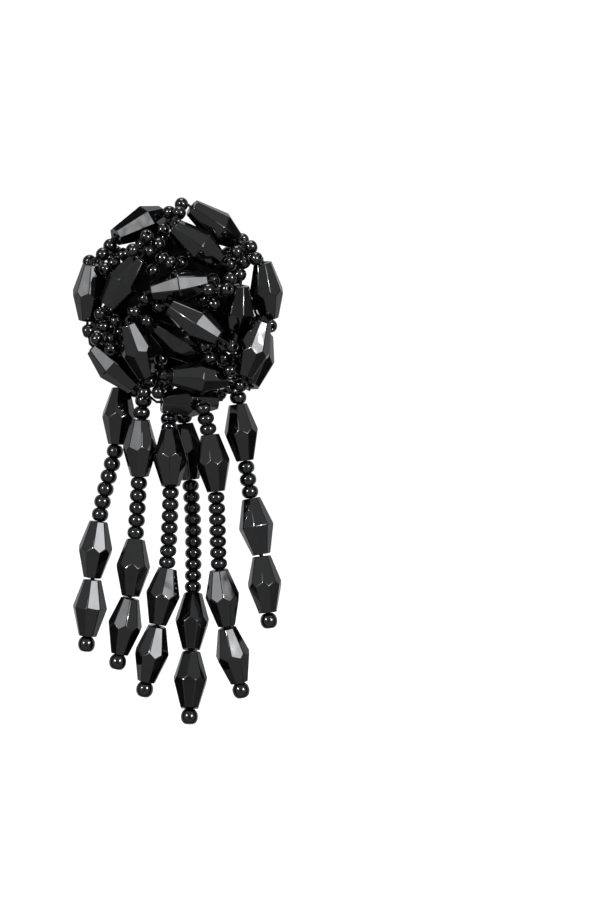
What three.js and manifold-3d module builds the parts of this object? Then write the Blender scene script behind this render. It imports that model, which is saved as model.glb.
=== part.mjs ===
// Chandelier earring: a dome of faceted beads woven over a disc, with six strings of beads hanging below it.
// Millimetres, +Z up, the face looks along -Y. The origin is where the post leaves the back of the disc.
import * as THREE from 'three';
import { mergeVertices } from 'three/addons/utils/BufferGeometryUtils.js';
import Module from 'manifold-3d';

const wasm = await Module();
wasm.setup();

// Long faceted beads, the same in the dome and in the strands
const LONG_BEAD_LENGTH = 10.6;
const LONG_BEAD_WIDTH = 6.1;
const LONG_BEAD_TIP_WIDTH = 3.2;
const FACETS = 8;

// Round beads: those of the dome, those strung in the strands, and the ball that ends a strand
const DOME_SEED_WIDTH = 2.45;
const DOME_SEED_HEIGHT = 2.2;
const SEED_WIDTH = 3.05;
const BALL_WIDTH = 3.2;
const BALL_HEIGHT = 2.8;
const ROUND_SIDES = 10;
const ROUND_FLAT_SHARE = 0.55;
const ROUND_SHOULDER_SHARE = 0.2;

// Thread, and the gap that pieces keep
const THREAD_WIDTH = 0.6;
const THREAD_SIDES = 5;
const CLEARANCE = 0.3;
const LONG_BEAD_BORE = THREAD_WIDTH + 2 * CLEARANCE;

// In a strand a short neck joins a round bead to a long one and goes into it
const NECK = 0.08;
const NECK_SUNK = 1.2;

// Dome: radius of the woven field, and depth from the back of the disc to its foremost bead
const DOME_RADIUS = 18.9;
const DOME_DEPTH = 16;

// Disc behind the dome, and the post soldered to a pad
const DISC_WIDTH = 25.6;
const DISC_THICKNESS = 1.2;
const DISC_SIDES = 32;
const PAD_WIDTH = 9;
const PAD_THICKNESS = 0.8;
const POST_WIDTH = 0.9;
const POST_LENGTH = 11;
const POST_SIDES = 16;

// Long beads of the dome. across, up and out place the middle: the first two are shares of the dome's radius, the
// last of its depth. heading is the way the axis points in the face-on view, in degrees from +X; tilt lifts the
// pointing end towards the face, roll turns the bead on its axis, twist turns its one half against the other, in
// facets, and girdle is the widest place's share of the length.
const DOME_BEADS = [
  { name: 'rim_1', across: -0.358, up: 0.775, out: 0.36, heading: 28, tilt: -27, roll: 20, twist: 0, girdle: 0.64 },
  { name: 'rim_2', across: 0.378, up: 0.79, out: 0.34, heading: -36, tilt: -16, roll: -13, twist: -0.1, girdle: 0.62 },
  { name: 'rim_3', across: 0.888, up: 0.138, out: 0.35, heading: -83, tilt: -13, roll: 12, twist: 0.56, girdle: 0.53 },
  { name: 'rim_4', across: 0.802, up: -0.54, out: 0.24, heading: -105, tilt: 20, roll: -27, twist: 0.3, girdle: 0.5 },
  { name: 'rim_5', across: 0.137, up: -0.943, out: 0.34, heading: 2, tilt: -13, roll: -12, twist: 0.35, girdle: 0.46 },
  { name: 'rim_6', across: -0.6, up: -0.61, out: 0.38, heading: -44, tilt: -2, roll: -15, twist: 0, girdle: 0.46 },
  { name: 'rim_7', across: -0.841, up: 0.12, out: 0.34, heading: -95, tilt: -11, roll: -19, twist: -0.4, girdle: 0.52 },
  { name: 'front_1', across: 0.218, up: 0.58, out: 0.62, heading: -37, tilt: -10, roll: -2, twist: 0, girdle: 0.56 },
  { name: 'front_2', across: -0.493, up: 0.211, out: 0.66, heading: -125, tilt: -9, roll: -2, twist: -0.34, girdle: 0.5 },
  { name: 'front_3', across: -0.366, up: -0.45, out: 0.66, heading: -71, tilt: -15, roll: 13, twist: 0.37, girdle: 0.5 },
  { name: 'front_4', across: 0.239, up: -0.717, out: 0.6, heading: -3, tilt: -14, roll: 10, twist: 0.1, girdle: 0.52 },
  { name: 'front_5', across: 0.767, up: -0.436, out: 0.58, heading: -108, tilt: -4, roll: -15, twist: 0.47, girdle: 0.53 },
  { name: 'front_6', across: 0.612, up: -0.092, out: 0.66, heading: -96, tilt: -12, roll: -15, twist: 0.15, girdle: 0.49 },
  { name: 'top_1', across: 0.053, up: 0.165, out: 0.76, heading: 10, tilt: 1, roll: 15, twist: 0, girdle: 0.5 },
  { name: 'top_2', across: 0.2, up: -0.19, out: 0.8, heading: -33, tilt: 4, roll: 3, twist: 0, girdle: 0.57 },
  { name: 'top_3', across: 0.031, up: -0.373, out: 0.57, heading: -34, tilt: -11, roll: -13, twist: 0, girdle: 0.5 },
];

// Clusters of round beads, where the ends of the long ones meet: out is a share of the dome's depth, the beads'
// places across and up are shares of its radius, and sewn is the share of the disc's radius where the cluster's
// thread is sewn down.
const CLUSTERS = [
  { name: 'top', out: 0.40, sewn: 0.9, seeds: [[0.06, 0.98], [-0.06, 0.90], [-0.04, 0.81], [0.04, 0.89], [-0.12, 0.73]] },
  {
    name: 'top_left', out: 0.40, sewn: 0.9,
    seeds: [[-0.64, 0.58], [-0.71, 0.49], [-0.51, 0.49], [-0.60, 0.40], [-0.68, 0.34]],
  },
  {
    name: 'upper', out: 0.62, sewn: 0,
    seeds: [
      [-0.16, 0.58], [-0.25, 0.51], [-0.12, 0.44], [-0.32, 0.58], [-0.04, 0.39], [0.06, 0.40], [-0.21, 0.32],
      [-0.40, 0.51], [-0.27, 0.65],
    ],
  },
  {
    name: 'top_right', out: 0.46, sewn: 0.9,
    seeds: [[0.74, 0.56], [0.79, 0.44], [0.67, 0.41], [0.60, 0.51], [0.53, 0.39], [0.63, 0.29]],
  },
  {
    name: 'right', out: 0.76, sewn: 0,
    seeds: [
      [0.37, 0.23], [0.54, 0.24], [0.44, 0.12], [0.33, 0.12], [0.51, 0.13], [0.27, 0.04], [0.38, -0.01],
    ],
  },
  { name: 'middle', out: 0.70, sewn: 0, seeds: [[-0.29, 0.05], [-0.15, -0.03], [-0.39, -0.08], [-0.27, -0.17]] },
  {
    name: 'left', out: 0.44, sewn: 0.9,
    seeds: [
      [-0.73, -0.09], [-0.70, -0.22], [-0.85, -0.26], [-0.76, -0.34], [-0.62, -0.34], [-0.58, -0.16],
      [-0.54, -0.27], [-0.66, -0.05], [-0.62, -0.44],
    ],
  },
  { name: 'far_right', out: 0.42, sewn: 0.95, seeds: [[0.82, -0.145], [0.93, -0.21], [0.75, 0.0]] },
  {
    name: 'lower_right', out: 0.64, sewn: 0,
    seeds: [
      [0.47, -0.41], [0.56, -0.42], [0.35, -0.53], [0.47, -0.53], [0.54, -0.65], [0.30, -0.41], [0.57, -0.54],
    ],
  },
  {
    name: 'bottom_left', out: 0.46, sewn: 0.9,
    seeds: [[-0.25, -0.75], [-0.30, -0.86], [-0.16, -0.86], [-0.11, -0.69], [-0.14, -0.53]],
  },
  { name: 'bottom_right', out: 0.40, sewn: 0.9, seeds: [[0.52, -0.81], [0.64, -0.79], [0.43, -0.87]] },
];

// Strands, each strung from the top down along a route of a few chosen points: bare thread over lead, some round
// beads, a long bead, more round beads, two long beads and the end ball. lead and the points of the route are shares
// of the dome's radius, pitch, the height that a round bead takes up, is a share of its width. rolls in degrees,
// twists in facets and leans towards the face in degrees are those of the three long beads.
const STRANDS = [
  {
    name: 'strand_1', lead: 0.275, top: 0, drop: 6, pitch: 0.793,
    rolls: [-12, -17, 9], twists: [0.55, 0.5, 0.07], leans: [0, -2, -2],
    route: [
      [-0.381, -0.032, -0.577], [-0.524, -0.026, -0.81], [-0.593, -0.053, -1.376], [-0.746, -0.079, -2.037],
      [-0.889, -0.079, -3.386],
    ],
  },
  {
    name: 'strand_2', lead: 0.011, top: 2, drop: 5, pitch: 0.754,
    rolls: [5, -19, 17], twists: [0.3, 0.53, 0.51], leans: [-4, 7, -5],
    route: [
      [-0.307, -0.222, -0.868], [-0.339, -0.249, -1.127], [-0.357, -0.249, -1.667],
      [-0.392, -0.259, -2.249], [-0.444, -0.259, -2.836], [-0.571, -0.259, -3.519],
    ],
  },
  {
    name: 'strand_3', lead: 0.05, top: 3, drop: 7, pitch: 0.705,
    rolls: [2, 20, -16], twists: [0.5, 0.4, 0.5], leans: [0, 8, -1],
    route: [
      [-0.085, -0.07, -0.91], [-0.069, -0.15, -1.122], [-0.05, -0.36, -1.429], [-0.048, -0.381, -1.958],
      [-0.09, -0.33, -2.619], [-0.18, -0.28, -3.148], [-0.307, -0.22, -3.783],
    ],
  },
  {
    name: 'strand_4', lead: 0.237, top: 2, drop: 10, pitch: 0.689,
    rolls: [0, -19, -20], twists: [0.5, 0.5, 0.42], leans: [0, 5, 5],
    route: [
      [0.042, -0.037, -0.698], [0.069, -0.032, -1.058], [0.138, -0.032, -1.746], [0.169, -0.09, -2.275],
      [0.138, -0.33, -4.021],
    ],
  },
  {
    name: 'strand_5', lead: 0.011, top: 3, drop: 7, pitch: 0.669,
    rolls: [-17, 19, 20], twists: [0.5, 0.51, 0.33], leans: [3, -1, -5],
    route: [
      [0.265, -0.487, -0.952], [0.339, -0.402, -1.312], [0.402, -0.37, -1.905], [0.429, -0.34, -2.566],
      [0.503, -0.28, -3.138], [0.635, -0.22, -3.757],
    ],
  },
  {
    name: 'strand_6', lead: 0.011, top: 1, drop: 3, pitch: 0.754,
    rolls: [-22, 4, -14], twists: [0.4, 0, 0.6], leans: [1, 2, 2],
    route: [
      [0.614, -0.212, -0.836], [0.614, -0.212, -0.974], [0.683, -0.201, -1.534], [0.741, -0.19, -1.905],
      [0.836, -0.185, -2.444], [0.91, -0.185, -3.069],
    ],
  },
];

// Corners closer than this are one corner.
const WELD = 1e-4;

// A closed geometry as a solid: only its positions count, and its shared corners are merged.
function solidOf(geometry) {
  const bare = geometry.clone();
  bare.deleteAttribute('normal');
  bare.deleteAttribute('uv');
  const merged = mergeVertices(bare, WELD);
  const mesh = new wasm.Mesh({
    numProp: 3,
    vertProperties: merged.attributes.position.array,
    triVerts: new Uint32Array(merged.index.array),
  });
  return new wasm.Manifold(mesh);
}

// A solid as a geometry again, with the flat faces that joins and cuts split made whole.
function geometryOf(solid) {
  const { vertProperties, triVerts } = solid.asOriginal().simplify().getMesh();
  const geometry = new THREE.BufferGeometry();
  geometry.setAttribute('position', new THREE.BufferAttribute(vertProperties, 3));
  geometry.setIndex(new THREE.BufferAttribute(triVerts, 1));
  const faceted = geometry.toNonIndexed();
  faceted.computeVertexNormals();
  return faceted;
}

const unite = (solids) => solids.reduce((whole, solid) => whole.add(solid));

// Every strung shape is made along +Z and then laid along its thread.
const ALONG = new THREE.Vector3(0, 0, 1);
const FACE = new THREE.Vector3(0, -1, 0);

// The turn that lays +Z along an axis with +X towards the face, and then rolls the shape on that axis.
function turnAlong(axis, roll = 0) {
  const side = new THREE.Vector3().crossVectors(axis, FACE).normalize();
  const front = new THREE.Vector3().crossVectors(side, axis);
  const turn = new THREE.Quaternion().setFromRotationMatrix(new THREE.Matrix4().makeBasis(front, side, axis));
  return turn.multiply(new THREE.Quaternion().setFromAxisAngle(ALONG, roll));
}

function laid(geometry, middle, turn) {
  return geometry.clone().applyQuaternion(turn).translate(middle.x, middle.y, middle.z);
}

// A long bead: two eight-sided tapers that run the other way round, each cutting the other off at the girdle.
function longBeadSolid(twist, girdle) {
  const step = (2 * Math.PI) / FACETS;
  const flatToCorner = 1 / Math.cos(step / 2);
  const tip = (LONG_BEAD_TIP_WIDTH / 2) * flatToCorner;
  const widest = (LONG_BEAD_WIDTH / 2) * flatToCorner;
  const taper = (share, start) => {
    const base = tip + (widest - tip) / share;
    const cone = new THREE.CylinderGeometry(tip, base, LONG_BEAD_LENGTH, FACETS, 1, false, start);
    return cone.rotateX(Math.PI / 2);
  };
  const upper = taper(1 - girdle, 0);
  const lower = taper(girdle, twist * step).rotateX(Math.PI);
  return solidOf(upper).intersect(solidOf(lower));
}

// The profile of a round bead, as radius and height, with flat ends round the thread.
function roundProfile(width, height) {
  const radius = width / 2;
  const flat = ROUND_FLAT_SHARE * radius;
  const shoulder = ROUND_SHOULDER_SHARE * height;
  return [[flat, -height / 2], [radius, -shoulder], [radius, shoulder], [flat, height / 2]];
}

function roundBead(width, height) {
  const profile = [[0, -height / 2], ...roundProfile(width, height), [0, height / 2]];
  const points = profile.map(([r, y]) => new THREE.Vector2(r, y));
  return new THREE.LatheGeometry(points, ROUND_SIDES).rotateX(Math.PI / 2);
}

// A straight stretch of thread between two places.
function threadBetween(start, end) {
  const way = new THREE.Vector3().subVectors(end, start);
  const length = way.length();
  const middle = new THREE.Vector3().addVectors(start, end).multiplyScalar(0.5);
  const rod = new THREE.CylinderGeometry(THREAD_WIDTH / 2, THREAD_WIDTH / 2, length, THREAD_SIDES);
  const turn = new THREE.Quaternion().setFromUnitVectors(ALONG, way.normalize());
  return laid(rod.rotateX(Math.PI / 2), middle, turn);
}

const domePlace = (across, up, out) => new THREE.Vector3(across * DOME_RADIUS, -out * DOME_DEPTH, up * DOME_RADIUS);

// Distance from a place to the surface of a long bead, taken as a round double cone.
function distanceToLongBead(place, bead) {
  const offset = new THREE.Vector3().subVectors(place, bead.middle);
  const along = offset.dot(bead.axis);
  const away = Math.sqrt(Math.max(offset.lengthSq() - along * along, 0));
  const half = LONG_BEAD_LENGTH / 2;
  const tip = LONG_BEAD_TIP_WIDTH / 2;
  const slope = (LONG_BEAD_WIDTH / 2 - tip) / half;
  const fromCone = (away - tip - slope * (half - Math.abs(along))) / Math.hypot(1, slope);
  const fromEnd = Math.abs(along) - half;
  if (fromEnd > 0 && away > tip) return Math.hypot(fromEnd, away - tip);
  return Math.max(fromCone, fromEnd);
}

// Places inside a long bead, each with the radius of the ball that fits there.
function ballsInLongBead(bead) {
  const balls = [];
  const half = LONG_BEAD_LENGTH / 2;
  const tip = LONG_BEAD_TIP_WIDTH / 2;
  const steps = 8;
  for (let i = -steps; i <= steps; i += 1) {
    const along = ((half - tip) * i) / steps;
    const radius = tip + (LONG_BEAD_WIDTH / 2 - tip) * (1 - Math.abs(along) / half);
    balls.push({ middle: bead.middle.clone().addScaledVector(bead.axis, along), radius });
  }
  return balls;
}

const clearOfLongBeads = (balls, beads) =>
  balls.every((ball) => beads.every((bead) => distanceToLongBead(ball.middle, bead) > ball.radius + CLEARANCE));

const clearOfBalls = (balls, others, gap) =>
  balls.every((ball) => others.every((other) => ball.middle.distanceTo(other.middle) > ball.radius + other.radius + gap));

// The shift towards or away from the face, the smallest that is clear, for something placed on the dome.
function settle(isClear) {
  const step = 0.1;
  for (let shift = 0; shift < DOME_DEPTH; shift += step) {
    for (const way of [1, -1]) {
      const move = FACE.clone().multiplyScalar(way * shift);
      if (isClear(move)) return move;
    }
  }
  return new THREE.Vector3();
}

const longBeads = [];
for (const row of DOME_BEADS) {
  const heading = THREE.MathUtils.degToRad(row.heading);
  const tilt = THREE.MathUtils.degToRad(row.tilt);
  const axis = new THREE.Vector3(
    Math.cos(heading) * Math.cos(tilt),
    -Math.sin(tilt),
    Math.sin(heading) * Math.cos(tilt),
  );
  const place = domePlace(row.across, row.up, row.out);
  const move = settle((shift) => {
    const balls = ballsInLongBead({ middle: place.clone().add(shift), axis });
    return clearOfLongBeads(balls, longBeads);
  });
  longBeads.push({ row, axis, middle: place.add(move), roll: THREE.MathUtils.degToRad(row.roll) });
}

const seeds = [];
for (const cluster of CLUSTERS) {
  for (const [across, up] of cluster.seeds) {
    const place = domePlace(across, up, cluster.out);
    const ball = (shift) => ({ middle: place.clone().add(shift), radius: DOME_SEED_WIDTH / 2 });
    const others = seeds.filter((seed) => seed.cluster !== cluster);
    const own = seeds.filter((seed) => seed.cluster === cluster);
    const move = settle((shift) => {
      const balls = [ball(shift)];
      return clearOfLongBeads(balls, longBeads)
        && clearOfBalls(balls, others, CLEARANCE)
        && clearOfBalls(balls, own, 0);
    });
    seeds.push({ cluster, ...ball(move) });
  }
}

// The thread of a cluster joins its round beads along the shortest ways, by pairs of nearest beads.
function links(own) {
  const joined = [own[0]];
  const left = own.slice(1);
  const pairs = [];
  while (left.length) {
    let best = { distance: Infinity };
    for (const from of joined) {
      for (const to of left) {
        const distance = from.middle.distanceTo(to.middle);
        if (distance < best.distance) best = { from, to, distance };
      }
    }
    pairs.push(best);
    joined.push(best.to);
    left.splice(left.indexOf(best.to), 1);
  }
  return pairs;
}

// The thread ends of a cluster: one into the bore of each long bead that points at it.
function threadsIntoBores(cluster) {
  const solids = [];
  for (const bead of longBeads) {
    for (const way of [-1, 1]) {
      const outward = bead.axis.clone().multiplyScalar(way);
      const mouth = bead.middle.clone().addScaledVector(outward, LONG_BEAD_LENGTH / 2 + DOME_SEED_HEIGHT / 2);
      let nearest = seeds[0];
      for (const seed of seeds) {
        if (seed.middle.distanceTo(mouth) < nearest.middle.distanceTo(mouth)) nearest = seed;
      }
      if (nearest.cluster !== cluster) continue;
      const inner = bead.middle.clone().addScaledVector(outward, CLEARANCE / 2);
      const bend = bead.middle.clone().addScaledVector(outward, LONG_BEAD_LENGTH / 2 + 1.5 * THREAD_WIDTH);
      const pastBend = bend.clone().addScaledVector(outward, THREAD_WIDTH / 2);
      solids.push(solidOf(threadBetween(inner, pastBend)));
      solids.push(solidOf(threadBetween(bend, nearest.middle)));
    }
  }
  return solids;
}

// The thread that sews a cluster to the edge of the disc, from its rearmost bead.
function sewingThread(cluster, own) {
  const rearmost = own.reduce((back, seed) => (seed.middle.y > back.middle.y ? seed : back));
  const reach = (cluster.sewn * DISC_WIDTH) / 2;
  const outward = new THREE.Vector3(rearmost.middle.x, 0, rearmost.middle.z);
  const onDisc = outward.clone().setLength(Math.min(reach, outward.length()));
  onDisc.y = -DISC_THICKNESS - CLEARANCE;
  return solidOf(threadBetween(rearmost.middle, onDisc));
}

// A strand: the round beads, the ball and the thread are one turned shape, bent along the route, and the long beads
// are joined to it. Past the end of its route the strand hangs straight on.
function strandSolid(strand) {
  const points = strand.route.map((point) => new THREE.Vector3(...point).multiplyScalar(DOME_RADIUS));
  const route = new THREE.CatmullRomCurve3(points);
  const routeLength = route.getLength();
  const placeAt = (distance) => {
    const share = Math.min(distance / routeLength, 1);
    const axis = route.getTangentAt(share);
    const past = Math.max(distance - routeLength, 0);
    return { middle: route.getPointAt(share).addScaledVector(axis, past), axis };
  };
  const profile = [[0, 0], [THREAD_WIDTH / 2, 0]];
  const strung = [];
  const pitch = strand.pitch * SEED_WIDTH;
  let used = strand.lead * DOME_RADIUS;
  const stringRound = (width, height) => {
    profile.push(...roundProfile(width, height).map(([r, z]) => [r, used + height / 2 + z]));
    used += height;
  };
  const stringNeck = (width) => {
    profile.push([(ROUND_FLAT_SHARE * width) / 2, used - NECK_SUNK]);
    used += NECK;
  };
  const stringLong = (bead) => {
    const { middle, axis } = placeAt(used + LONG_BEAD_LENGTH / 2);
    const lean = THREE.MathUtils.degToRad(strand.leans[bead]);
    const leaning = axis.clone().multiplyScalar(Math.cos(lean)).addScaledVector(FACE, Math.sin(lean)).normalize();
    const turn = turnAlong(leaning, THREE.MathUtils.degToRad(strand.rolls[bead]));
    strung.push(solidOf(laid(geometryOf(longBeadSolid(strand.twists[bead], 0.5)), middle, turn)));
    const [last] = profile.at(-1);
    profile.push([last, used + NECK_SUNK], [THREAD_WIDTH / 2, used + 2 * NECK_SUNK]);
    used += LONG_BEAD_LENGTH;
    profile.push([THREAD_WIDTH / 2, used - 2 * NECK_SUNK]);
  };
  for (let i = 0; i < strand.top; i += 1) stringRound(SEED_WIDTH, pitch);
  used += NECK;
  stringLong(0);
  stringNeck(SEED_WIDTH);
  for (let i = 0; i < strand.drop; i += 1) stringRound(SEED_WIDTH, pitch);
  used += NECK;
  stringLong(1);
  used += CLEARANCE;
  stringLong(2);
  stringNeck(BALL_WIDTH);
  stringRound(BALL_WIDTH, BALL_HEIGHT);
  profile.push([0, used]);
  const turned = new THREE.LatheGeometry(profile.map(([r, y]) => new THREE.Vector2(r, y)), ROUND_SIDES);
  const corners = turned.getAttribute('position');
  for (let i = 0; i < corners.count; i += 1) {
    const corner = new THREE.Vector3().fromBufferAttribute(corners, i);
    const { middle, axis } = placeAt(corner.y);
    const spoke = new THREE.Vector3(corner.z, corner.x, 0).applyQuaternion(turnAlong(axis));
    corners.setXYZ(i, ...middle.add(spoke));
  }
  return unite([solidOf(turned), ...strung]);
}

const JET = { color: 0x0a0a0c, roughness: 0.08, metalness: 0 };
const FELT = { color: 0x101012, roughness: 0.7, metalness: 0 };
const STEEL = { color: 0xb9bcc2, roughness: 0.25, metalness: 1 };

const earring = new THREE.Group();
earring.name = 'chandelier_earring';

function addPiece(name, geometry, look, parent = earring) {
  const mesh = new THREE.Mesh(geometry, new THREE.MeshStandardMaterial(look));
  mesh.name = name;
  parent.add(mesh);
  return mesh;
}

// Dome
const dome = new THREE.Group();
earring.add(dome);
for (const bead of longBeads) {
  const bore = new THREE.CylinderGeometry(
    LONG_BEAD_BORE / 2, LONG_BEAD_BORE / 2, 2 * LONG_BEAD_LENGTH, THREAD_SIDES,
  );
  const drilled = longBeadSolid(bead.row.twist, bead.row.girdle).subtract(solidOf(bore.rotateX(Math.PI / 2)));
  const mesh = addPiece(`dome_bead_${bead.row.name}`, geometryOf(drilled), JET, dome);
  mesh.position.copy(bead.middle);
  mesh.quaternion.copy(turnAlong(bead.axis, bead.roll));
}
for (const cluster of CLUSTERS) {
  const own = seeds.filter((seed) => seed.cluster === cluster);
  const pairs = links(own);
  const solids = own.map((seed) => {
    const pair = pairs.find(({ from, to }) => from === seed || to === seed);
    const axis = new THREE.Vector3().subVectors(pair.to.middle, pair.from.middle).normalize();
    return solidOf(laid(roundBead(DOME_SEED_WIDTH, DOME_SEED_HEIGHT), seed.middle, turnAlong(axis)));
  });
  solids.push(...pairs.map(({ from, to }) => solidOf(threadBetween(from.middle, to.middle))));
  solids.push(...threadsIntoBores(cluster));
  if (cluster.sewn > 0) solids.push(sewingThread(cluster, own));
  addPiece(`dome_seeds_${cluster.name}`, geometryOf(unite(solids)), JET, dome);
}

// Strands
const strands = new THREE.Group();
earring.add(strands);
for (const strand of STRANDS) {
  addPiece(strand.name, geometryOf(strandSolid(strand)), JET, strands);
}

// Disc, standing on its edge, and the post on its pad
const disc = new THREE.CylinderGeometry(DISC_WIDTH / 2, DISC_WIDTH / 2, DISC_THICKNESS, DISC_SIDES);
addPiece('backing_disc', disc, FELT).position.y = -DISC_THICKNESS / 2;

const postProfile = [
  [0, CLEARANCE],
  [PAD_WIDTH / 2, CLEARANCE],
  [PAD_WIDTH / 2, CLEARANCE + PAD_THICKNESS],
  [POST_WIDTH / 2, CLEARANCE + PAD_THICKNESS],
  [POST_WIDTH / 2, POST_LENGTH - POST_WIDTH / 2],
  [0, POST_LENGTH],
];
const post = new THREE.LatheGeometry(postProfile.map(([r, y]) => new THREE.Vector2(r, y)), POST_SIDES);
addPiece('ear_post', post, STEEL);

export default earring;
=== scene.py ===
"""Chandelier earring: a dome of faceted black beads woven over a disc, with six strings of beads below it."""

import math

import bmesh
import bpy
import numpy as np
from mathutils import Matrix, Quaternion, Vector


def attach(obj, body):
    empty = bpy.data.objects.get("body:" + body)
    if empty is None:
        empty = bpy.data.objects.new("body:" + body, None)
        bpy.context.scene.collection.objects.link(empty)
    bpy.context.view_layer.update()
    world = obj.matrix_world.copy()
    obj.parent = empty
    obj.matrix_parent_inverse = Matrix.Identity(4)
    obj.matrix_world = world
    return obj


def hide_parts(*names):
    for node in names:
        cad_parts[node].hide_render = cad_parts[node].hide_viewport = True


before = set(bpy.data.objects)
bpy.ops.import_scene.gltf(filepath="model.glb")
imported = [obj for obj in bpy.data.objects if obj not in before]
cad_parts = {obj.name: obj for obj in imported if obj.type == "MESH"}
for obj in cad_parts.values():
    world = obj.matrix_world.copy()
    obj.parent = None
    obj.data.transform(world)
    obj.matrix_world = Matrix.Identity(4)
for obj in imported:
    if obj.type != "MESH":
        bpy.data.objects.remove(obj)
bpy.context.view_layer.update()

# All lengths below are in millimetres, as in the solids; pieces are scaled to metres when they are made.
MM = 0.001

# Beads, thread and fits, the same as in the solids
LONG_BEAD_LENGTH = 10.6
LONG_BEAD_WIDTH = 6.1
LONG_BEAD_TIP_WIDTH = 3.2
FACETS = 8
LONG_BEAD_BORE = 1.2
DOME_SEED_WIDTH = 2.45
DOME_SEED_HEIGHT = 2.2
SEED_WIDTH = 3.05
BALL_WIDTH = 3.2
BALL_HEIGHT = 2.8
THREAD_WIDTH = 0.6
CLEARANCE = 0.3
NECK = 0.08
DOME_RADIUS = 18.9
DOME_DEPTH = 16.0

# Disc and post
DISC_WIDTH = 25.6
DISC_THICKNESS = 1.2
PAD_WIDTH = 9.0
PAD_THICKNESS = 0.8
POST_WIDTH = 0.9
POST_LENGTH = 11.0

# Detail that only the looks have: long beads
EDGE_BEVEL = 0.13
EDGE_STEPS = 2
FLAT_ANGLE = math.radians(1)
SHARP_ANGLE = math.radians(4)
BORE_DEPTH_SHARE = 0.3

# Round beads: how much wider or higher they are than in the solids, where a strand's small ones have a share
# of their pitch; and the thread
ROUND_SIDES = 28
ROUND_RINGS = 14
ROUND_SWELL_POWER = 0.85
ROUND_LIP_SHARE = 0.12
SEED_HOLE = 0.8
DOME_SEED_WIDER = 0.1
SEED_WIDER = 0.08
SEED_HEIGHT_SHARE = 1.03
BALL_HIGHER = 0.1
STRING_WIDTH = 0.5
STRAND_STRING_WIDTH = 0.75
STRING_SIDES = 8
STRING_STEP = 0.8
STRING_STOPS_BEFORE = 0.2

# Rounded edges of the disc and the pad, the rim round the disc's back and the notch near the post's tip
CORNER_STEPS = 4
DISC_SIDES = 96
DISC_LIP = 0.35
RIM_WIDTH = 1.1
RIM_DEPTH = 0.15
POST_SIDES = 48
PAD_LIP = 0.25
POST_FILLET = 0.5
FILLET_BEND_SHARE = 0.3
NOTCH_DEPTH = 0.12
NOTCH_FROM_TIP = 2.2
NOTCH_BOTTOM_HALF = 0.2
NOTCH_TOP_HALF = 0.5

# The post's rounded tip: shares of its radius and distances from its end
TIP_OUTLINE = ((1, 0.5), (0.8, 0.25), (0.5, 0.08), (0, 0))

# Steps of the search for a clear place and of the strands' curves
SETTLE_STEP = 0.1
BALL_STEPS = 8
ROUTE_STEPS = 160
LEAST_GAP = 1e-4
WAY_REACH = 0.05

# The part of each noise's values that a colour or a roughness is spread over
NOISE_LOW = 0.35
NOISE_HIGH = 0.65

# Stage, in metres
FLOOR_BELOW = 0.15
STAGE_RADIUS = 4.0
STAGE_SIDES = 64

# Studio light: that of the room, that of what lies behind the earring and the least there is, the shares left
# low down and straight ahead, and where each fades, as cosines to straight up or to the face's direction
ROOM_LIGHT = 0.62
REAR_LIGHT = 0.6
LEAST_LIGHT = 0.04
LOW_SHARE = 0.74
AHEAD_SHARE = 0.5
LOW_FADE = (-0.35, 0.1)
HIGH_FADE = (0.8, 0.97)
AHEAD_FADE = (0.9, 0.98)
SIDE_FADE = (-0.1, 0.5)
REAR_FADE = (-0.45, -0.1)

# Soft boxes: where each stands and its half sizes in degrees, the light at its edge and in its middle, and
# that of the bright spot there
SOFT_BOX_COLUMNS = ("azimuth", "elevation", "wide", "high", "edge", "middle", "core")
SOFT_BOXES = [
    (35.5, 14, 13.5, 13, 4.0, 12.0, 380.0),
    (-39, 17, 15, 13, 1.5, 5.0, 450.0),
]
BOX_SQUARENESS = 4.0
BOX_EDGE_FADE = (0.7, 1.3)
BOX_SIDE_FADE = (0.0, 0.1)
CORE_SIZE = 0.055

# Long beads of the dome: places as shares of the dome's radius and depth, then heading, tilt and roll in
# degrees, twist in facets and the girdle's share of the length
DOME_COLUMNS = ("name", "across", "up", "out", "heading", "tilt", "roll", "twist", "girdle")
DOME_BEADS = [
    ("rim_1", -0.358, 0.775, 0.36, 28, -27, 20, 0, 0.64),
    ("rim_2", 0.378, 0.79, 0.34, -36, -16, -13, -0.1, 0.62),
    ("rim_3", 0.888, 0.138, 0.35, -83, -13, 12, 0.56, 0.53),
    ("rim_4", 0.802, -0.54, 0.24, -105, 20, -27, 0.3, 0.5),
    ("rim_5", 0.137, -0.943, 0.34, 2, -13, -12, 0.35, 0.46),
    ("rim_6", -0.6, -0.61, 0.38, -44, -2, -15, 0, 0.46),
    ("rim_7", -0.841, 0.12, 0.34, -95, -11, -19, -0.4, 0.52),
    ("front_1", 0.218, 0.58, 0.62, -37, -10, -2, 0, 0.56),
    ("front_2", -0.493, 0.211, 0.66, -125, -9, -2, -0.34, 0.5),
    ("front_3", -0.366, -0.45, 0.66, -71, -15, 13, 0.37, 0.5),
    ("front_4", 0.239, -0.717, 0.6, -3, -14, 10, 0.1, 0.52),
    ("front_5", 0.767, -0.436, 0.58, -108, -4, -15, 0.47, 0.53),
    ("front_6", 0.612, -0.092, 0.66, -96, -12, -15, 0.15, 0.49),
    ("top_1", 0.053, 0.165, 0.76, 10, 1, 15, 0, 0.5),
    ("top_2", 0.2, -0.19, 0.8, -33, 4, 3, 0, 0.57),
    ("top_3", 0.031, -0.373, 0.57, -34, -11, -13, 0, 0.5),
]

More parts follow.
